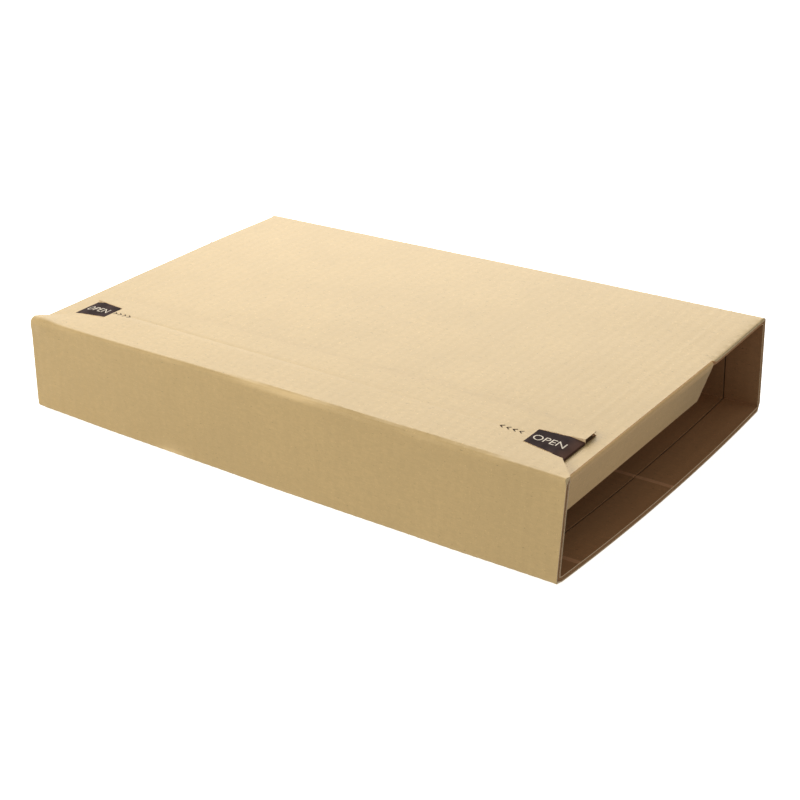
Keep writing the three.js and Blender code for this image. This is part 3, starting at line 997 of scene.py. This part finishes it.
def build_tab_ink(side, name):
    """The black field on a finger tab, turned down over its outer end."""
    across = np.linspace(-1, 1, 25)
    along = np.concatenate([
        np.linspace(TAB_INNER_X + 0.25, CLOSURE_SIDE - 7, 12),
        np.linspace(CLOSURE_SIDE - 6.4, CLOSURE_SIDE - 0.05, 16),
        CLOSURE_SIDE + np.linspace(0.1, 1.3, 5)])
    rows = []
    for x in along:
        half = float(tab_half_width(min(x, CLOSURE_SIDE))) - 0.3
        rows.append([(side * x, tab_centre_y(side * x) + half * a) for a in across])
    grid = np.array(rows).reshape(-1, 2)
    top = place_on_closure(grid[:, 0], grid[:, 1], FIELD_TOP)
    under = place_on_closure(grid[:, 0], grid[:, 1], FIELD_UNDER)
    count = len(grid)
    width = len(across)
    polygons = []
    for i in range(len(along) - 1):
        for j in range(width - 1):
            a, b, c, d = i * width + j, (i + 1) * width + j, (i + 1) * width + j + 1, i * width + j + 1
            polygons.append((a, b, c, d))
            polygons.append((d + count, c + count, b + count, a + count))
    last = (len(along) - 1) * width
    ring = list(range(width)) + [i * width + width - 1 for i in range(1, len(along))]
    ring += [last + j for j in range(width - 2, -1, -1)]
    ring += [i * width for i in range(len(along) - 2, 0, -1)]
    for a, b in zip(ring, [*ring[1:], ring[0]]):
        polygons.append((a, b, b + count, a + count))
    piece = closed_piece(name, np.concatenate([top, under]), polygons, ink_finish())
    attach(piece, "wrap")


def evaluated_mesh(maker):
    """The mesh that an object makes, as a copy. The object itself is removed."""
    bpy.context.view_layer.update()
    mesh = bpy.data.meshes.new_from_object(maker.evaluated_get(bpy.context.evaluated_depsgraph_get()))
    bpy.data.objects.remove(maker)
    return mesh


def take_apart(mesh):
    """A mesh's points and faces. The mesh itself is removed."""
    co = np.zeros(len(mesh.vertices) * 3)
    mesh.vertices.foreach_get("co", co)
    faces = [tuple(p.vertices) for p in mesh.polygons]
    bpy.data.meshes.remove(mesh)
    return co.reshape(-1, 3), faces


def slice_along_x(mesh, cuts):
    """Cuts a mesh across at even steps, so that it can follow a bent surface."""
    work = bmesh.new()
    work.from_mesh(mesh)
    low = min(v.co.x for v in work.verts)
    high = max(v.co.x for v in work.verts)
    for i in range(1, cuts):
        place = (low + (high - low) * i / cuts, 0, 0)
        everything = [*work.verts, *work.edges, *work.faces]
        bmesh.ops.bisect_plane(work, geom=everything, plane_co=place, plane_no=(1, 0, 0))
    bmesh.ops.triangulate(work, faces=work.faces)
    work.to_mesh(mesh)
    work.free()


def build_word(name, centre_x, centre_y, width, height):
    """The plain word on a tab, in the built-in typeface, read from the front of the box."""
    settings = bpy.context.scene.mailer_print
    curve = bpy.data.curves.new(name, "FONT")
    curve.body = settings.word
    curve.size = 10.0
    curve.resolution_u = 4
    curve.extrude = 0.02
    curve.offset = -0.05
    mesh = evaluated_mesh(add_object(name + "_writing", curve))
    bpy.data.curves.remove(curve)
    slice_along_x(mesh, 40)
    co, polygons = take_apart(mesh)
    low, high = co.min(axis=0), co.max(axis=0)
    x = centre_x + ((co[:, 0] - low[0]) / (high[0] - low[0]) - 0.5) * width
    y = centre_y + ((co[:, 1] - low[1]) / (high[1] - low[1]) - 0.5) * height
    points = place_on_closure(x, y, 0.0)
    points[:, 2] += LETTER_UNDER + np.where(co[:, 2] > 0, LETTER_THICKNESS, 0.0)
    piece = closed_piece(name, points, polygons, lettering_finish())
    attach(piece, "wrap")


class ShapeTree(NodeTree):
    """Short calls for building one Geometry Nodes tree with named inputs."""

    def __init__(self, name, inputs):
        self.tree = bpy.data.node_groups.new(name, "GeometryNodeTree")
        self.tree.interface.new_socket("Geometry", in_out="OUTPUT", socket_type="NodeSocketGeometry")
        self.ids = {}
        self.values = {}
        for label, (kind, value) in inputs.items():
            socket = self.tree.interface.new_socket(label, in_out="INPUT", socket_type=kind)
            self.ids[label] = socket.identifier
            self.values[label] = value
        group = self.tree.nodes.new("NodeGroupInput")
        self.inputs = {label: group.outputs[label] for label in inputs}
        self.out = self.tree.nodes.new("NodeGroupOutput")

    def add(self, kind, inputs=(), **settings):
        """The first output of a new node."""
        return self.new(kind, inputs, **settings).outputs[0]

    def finish(self, geometry, material):
        real = self.add("GeometryNodeRealizeInstances", {0: geometry})
        painted = self.add("GeometryNodeSetMaterial", {"Geometry": real, "Material": material})
        self.tree.links.new(painted, self.out.inputs[0])

    def points_and_faces(self):
        """The finished shape as plain points and faces."""
        holder = add_object(self.tree.name, bpy.data.meshes.new(self.tree.name))
        modifier = holder.modifiers.new("shape", "NODES")
        modifier.node_group = self.tree
        for label, identifier in self.ids.items():
            modifier[identifier] = self.values[label]
        return take_apart(evaluated_mesh(holder))


def chevron_shapes():
    """A row of chevrons along X that point to the left, in millimetres, centred on the first one."""
    settings = bpy.context.scene.mailer_print
    tree = ShapeTree("chevron_row", {
        "Count": ("NodeSocketInt", settings.chevrons),
        "Pitch": ("NodeSocketFloat", settings.chevron_pitch / MM),
        "Stroke": ("NodeSocketFloat", 0.55),
        "Arm": ("NodeSocketFloat", 2.3),
    })
    size = tree.add("ShaderNodeCombineXYZ", {0: tree.inputs["Arm"], 1: tree.inputs["Stroke"], 2: 0.05})
    arms = []
    for sign in (-1, 1):
        bar = tree.add("GeometryNodeMeshCube", {"Size": size, "Vertices X": 4})
        half = tree.add("ShaderNodeCombineXYZ", {0: tree.math("MULTIPLY", tree.inputs["Arm"], 0.5)})
        moved = tree.add("GeometryNodeTransform", {"Geometry": bar, "Translation": half})
        arms.append(tree.add("GeometryNodeTransform", {
            "Geometry": moved, "Rotation": (0, 0, sign * math.radians(34))}))
    chevron = tree.add("GeometryNodeJoinGeometry", {0: arms})
    step = tree.add("ShaderNodeCombineXYZ", {0: tree.inputs["Pitch"]})
    row = tree.add("GeometryNodeMeshLine", {"Count": tree.inputs["Count"], "Offset": step})
    copies = tree.add("GeometryNodeInstanceOnPoints", {"Points": row, "Instance": chevron})
    tree.finish(copies, ink_finish())
    return tree.points_and_faces()


def build_chevrons(name, start_x, direction):
    """A row of chevrons on the tear line that point away from their tab."""
    points, faces = chevron_shapes()
    x = start_x - direction * points[:, 0]
    y = tab_centre_y(x) + points[:, 1]
    placed = place_on_closure(x, y, 0.0)
    placed[:, 2] += np.where(points[:, 2] > 0, CHEVRON_TOP, CHEVRON_UNDER)
    piece = closed_piece(name, placed, faces, ink_finish())
    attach(piece, "wrap")


def flute_ribbon(length, depth, name):
    """Fluted paper as a wave along X, running back along Y, about Z = 0, in millimetres."""
    settings = bpy.context.scene.mailer_board
    pitch = settings.flute_pitch / MM
    steps = int(length / pitch * 10)
    core = (BOARD - 2 * settings.liner / MM) / 2 - 0.1
    tree = ShapeTree(name, {
        "Length": ("NodeSocketFloat", float(length)),
        "Pitch": ("NodeSocketFloat", pitch),
        "Height": ("NodeSocketFloat", core),
        "Depth": ("NodeSocketFloat", float(depth)),
        "Paper": ("NodeSocketFloat", 0.22),
        "Steps": ("NodeSocketInt", steps),
    })
    stride = tree.math("DIVIDE", tree.inputs["Length"], tree.inputs["Steps"])
    step = tree.add("ShaderNodeCombineXYZ", {0: stride})
    count = tree.math("ADD", tree.inputs["Steps"], 1.0)
    line = tree.add("GeometryNodeMeshLine", {"Count": count, "Offset": step})
    index = tree.add("GeometryNodeInputIndex")
    share = tree.math("DIVIDE", index, tree.inputs["Steps"])
    along = tree.math("MULTIPLY", share, tree.inputs["Length"])
    phase = tree.math("MULTIPLY", tree.math("DIVIDE", along, tree.inputs["Pitch"]), math.tau)
    lift = tree.math("MULTIPLY", tree.math("SINE", phase), tree.inputs["Height"])
    raised = tree.add("GeometryNodeSetPosition", {
        "Geometry": line, "Offset": tree.add("ShaderNodeCombineXYZ", {2: lift})})
    back = tree.add("ShaderNodeCombineXYZ", {1: tree.inputs["Depth"]})
    sheet = tree.add("GeometryNodeExtrudeMesh", {"Mesh": raised, "Offset": back}, mode="EDGES")
    up = tree.add("ShaderNodeCombineXYZ", {2: tree.inputs["Paper"]})
    solid = {"Mesh": sheet, "Offset": up, "Individual": False}
    thick = tree.add("GeometryNodeExtrudeMesh", solid, mode="FACES")
    whole = tree.add("GeometryNodeJoinGeometry", {0: [thick, sheet]})
    closed = tree.add("GeometryNodeMergeByDistance", {"Geometry": whole, "Distance": 0.001})
    tree.finish(closed, board_materials()[FLUTING])
    return tree.points_and_faces()


def build_fluting():
    """The fluted paper between the liners at the free edges of the closure flap and the top panel."""
    ends = [(SHEET_END, -1, CLOSURE_SIDE, "closure_fluting"), (0.0, 1, LIP_X - 6, "top_panel_fluting")]
    for run, inward, reach, name in ends:
        points, faces = flute_ribbon(2 * reach - 1, 2.3, name)
        flat = np.stack([points[:, 0] - reach + 0.5, run + inward * (points[:, 1] + FLUTE_SETBACK)], axis=1)
        placed = place_blank(flat, 0.5 + points[:, 2] / BOARD)
        place_fluting(name, placed, faces, "wrap")


def place_fluting(name, placed, faces, body):
    """Fluted paper at its place, as a piece of the body that it rides on."""
    piece = closed_piece(name, placed, faces, board_materials()[FLUTING])
    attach(piece, body)


def build_flap_fluting(side, name, body):
    """The fluted paper at the front and back edges of an end flap, joined as one piece."""
    length = FLAP_LENGTH - HALF_BOARD - FLAP_FLUTE_START - FLAP_FLUTE_STOP
    points, faces = flute_ribbon(length, 1.9, name)
    place = flap_placer(side)
    run = FLAP_ROOT + FLAP_FLUTE_START + points[:, 0]
    down = (points[:, 0] + FLAP_FLUTE_START - FLAP_TAPER_START) / (FLAP_LENGTH - HALF_BOARD - FLAP_TAPER_START)
    placed = []
    polygons = []
    for edge, inward, taper in ((FLAP_FRONT, 1, 0.0), (FLAP_BACK, -1, FLAP_TAPER)):
        flat = np.stack([edge - taper * down + inward * (points[:, 1] + FLUTE_SETBACK), run], axis=1)
        low = place(flat, 0.0)
        high = place(flat, 1.0)
        share = (0.5 + points[:, 2] / BOARD)[:, None]
        polygons += [tuple(v + len(placed) * len(points) for v in face) for face in faces]
        placed.append(low + (high - low) * share)
    place_fluting(name, np.concatenate(placed), polygons, body)


class MAILER_OT_fluting(bpy.types.Operator):
    """Build the fluted paper that shows at the cut edges"""
    bl_idname = "mailer.fluting"
    bl_label = "Fluting"

    def execute(self, context):
        build_fluting()
        build_flap_fluting(1, "right_flap_fluting", "right_flap")
        build_flap_fluting(-1, "left_flap_fluting", "left_flap")
        return {"FINISHED"}


class MAILER_OT_print(bpy.types.Operator):
    """Lay the black fields, the plain word and the chevrons on the closure flap"""
    bl_idname = "mailer.print"
    bl_label = "Print"

    def execute(self, context):
        height = context.scene.mailer_print.word_height / MM
        build_tab_ink(1, "right_tab_field")
        build_tab_ink(-1, "left_tab_field")
        for name, centre_x, centre_y, width in WORDS:
            build_word(name, centre_x, centre_y, width, height)
        for name, start_x, direction in CHEVRON_ROWS:
            build_chevrons(name, start_x, direction)
        return {"FINISHED"}


class MAILER_OT_blank(bpy.types.Operator):
    """Build the folded blank: top, back, bottom, front and closure flap"""
    bl_idname = "mailer.blank"
    bl_label = "Folded blank"

    def execute(self, context):
        build_blank()
        return {"FINISHED"}


class MAILER_OT_end_flaps(bpy.types.Operator):
    """Build the two end flaps that hang in the open ends"""
    bl_idname = "mailer.end_flaps"
    bl_label = "End flaps"

    def execute(self, context):
        build_flap(1, "right_flap_sheet", "right_end_flap", "right_flap")
        build_flap(-1, "left_flap_sheet", "left_end_flap", "left_flap")
        return {"FINISHED"}


class MAILER_OT_tape_and_glue(bpy.types.Operator):
    """Finish the tear tape and the adhesive strip"""
    bl_idname = "mailer.tape_and_glue"
    bl_label = "Tape and glue"

    def execute(self, context):
        hidden = (("tear_tape", (0.72, 0.69, 0.6), 0.35), ("adhesive_strip", (0.7, 0.66, 0.52), 0.5))
        for node, base, rough in hidden:
            nodes = Nodes(node + "_finish")
            streaks = nodes.noise(1.0, 3.0, 0.6, stretch=(40, 900, 900))
            nodes.colour(nodes.mix(streaks, tone(base, 0.9), tone(base, 1.08)))
            nodes.surface(Roughness=rough)
            nodes.bump(streaks, 0.00005, 0.4)
            mesh = frame["nodes"][node].data
            mesh.materials.clear()
            mesh.materials.append(nodes.material)
        return {"FINISHED"}


class MAILER_OT_stage(bpy.types.Operator):
    """Set the pale floor, the soft light and the camera"""
    bl_idname = "mailer.stage"
    bl_label = "Stage"

    def execute(self, context):
        settings = context.scene.mailer_stage
        build_floor(settings)
        build_lights(settings)
        build_camera()
        return {"FINISHED"}


def build_floor(settings):
    """A wide pale floor that glows a little, so that the box's shadow stays faint."""
    mesh = bpy.data.meshes.new("floor")
    size = 9.0
    corners = [(-size, -size, 0), (size, -size, 0), (size, size, 0), (-size, size, 0)]
    mesh.from_pydata(corners, [], [(0, 1, 2, 3)])
    nodes = Nodes("pale_floor")
    soft = nodes.noise(1.5, 2.0)
    nodes.colour(nodes.mix(soft, tone(settings.floor_colour, 0.99), tone(settings.floor_colour, 1.0)))
    nodes.surface(Roughness=0.9, Emission_Color=(1, 1, 1, 1), Emission_Strength=settings.floor_glow)
    mesh.materials.append(nodes.material)
    floor = add_object("floor", mesh)
    floor.visible_diffuse = False


def add_area(name, place, aim, size, power, colour=(1, 1, 1)):
    """A rectangular soft light that points at a place."""
    light = bpy.data.lights.new(name, "AREA")
    light.shape = "RECTANGLE"
    light.size, light.size_y = size
    light.energy = power
    light.color = colour
    lamp = add_object(name, light)
    lamp.location = place
    lamp.rotation_euler = (Vector(aim) - Vector(place)).to_track_quat("-Z", "Y").to_euler()


def build_lights(settings):
    """Even light from all sides, a large light behind the box and a weak warm one at its front left."""
    world = bpy.data.worlds.new("studio")
    bpy.context.scene.world = world
    world.use_nodes = True
    background = world.node_tree.nodes["Background"]
    background.inputs["Color"].default_value = (1, 1, 1, 1)
    background.inputs["Strength"].default_value = settings.sky_strength
    add_area("overhead", (-0.8, 1.15, 0.95), (0, 0, 0.05), (1.7, 1.1), settings.key_power)
    add_area("front_left", (-0.85, -1.25, 0.75), (0, 0, 0.02), (1.1, 0.9), settings.fill_power,
             (1.0, 0.93, 0.80))
    bpy.context.scene.view_settings.view_transform = "Standard"


def build_camera():
    """The photograph's viewpoint, fitted to the box's corners."""
    azimuth = math.radians(37.417)
    elevation = math.radians(26.141)
    roll = math.radians(-2.579)
    distance = 0.8790
    focal_pixels = 1513.9
    photo_width = 800.0
    target = Vector((-0.00389, 0.01207, 0.0))
    back = Vector((math.sin(azimuth) * math.cos(elevation), -math.cos(azimuth) * math.cos(elevation),
                   math.sin(elevation)))
    right = (-back).cross(Vector((0, 0, 1))).normalized()
    up = right.cross(-back).normalized()
    turned_right = math.cos(roll) * right + math.sin(roll) * up
    turned_up = -math.sin(roll) * right + math.cos(roll) * up
    camera = bpy.data.cameras.new("camera")
    camera.sensor_width = 36.0
    camera.lens = focal_pixels * camera.sensor_width / photo_width
    camera.clip_start = 0.01
    camera.clip_end = 30.0
    rig = add_object("camera", camera)
    turn = Matrix((turned_right, turned_up, back)).transposed()
    rig.matrix_world = Matrix.Translation(target + back * distance) @ turn.to_4x4()
    bpy.context.scene.camera = rig


class MAILER_PT_panel(bpy.types.Panel):
    """Sizes, colours and pieces of the mailer box"""
    bl_label = "Mailer"
    bl_idname = "MAILER_PT_panel"
    bl_space_type = "VIEW_3D"
    bl_region_type = "UI"
    bl_category = "Mailer"

    def draw(self, context):
        scene = context.scene
        for title, group in (("Board", scene.mailer_board), ("Print", scene.mailer_print),
                             ("Stage", scene.mailer_stage)):
            box = self.layout.box()
            box.label(text=title)
            for name in group.__annotations__:
                box.prop(group, name)
        for operator in OPERATORS:
            self.layout.operator(operator.bl_idname)


SETTINGS = {"mailer_board": BoardSettings, "mailer_print": PrintSettings, "mailer_stage": StageSettings}
OPERATORS = (
    MAILER_OT_blank, MAILER_OT_end_flaps, MAILER_OT_fluting, MAILER_OT_print, MAILER_OT_tape_and_glue,
    MAILER_OT_stage,
)
CLASSES = (*SETTINGS.values(), *OPERATORS, MAILER_PT_panel)


def register():
    for cls in CLASSES:
        bpy.utils.register_class(cls)
    for name, group in SETTINGS.items():
        setattr(bpy.types.Scene, name, PointerProperty(type=group))


def unregister():
    for name in SETTINGS:
        delattr(bpy.types.Scene, name)
    for cls in reversed(CLASSES):
        bpy.utils.unregister_class(cls)


def main():
    register()
    bpy.ops.mailer.blank()
    bpy.ops.mailer.end_flaps()
    bpy.ops.mailer.fluting()
    bpy.ops.mailer.print()
    bpy.ops.mailer.tape_and_glue()
    bpy.ops.mailer.stage()


if __name__ == "__main__":
    main()
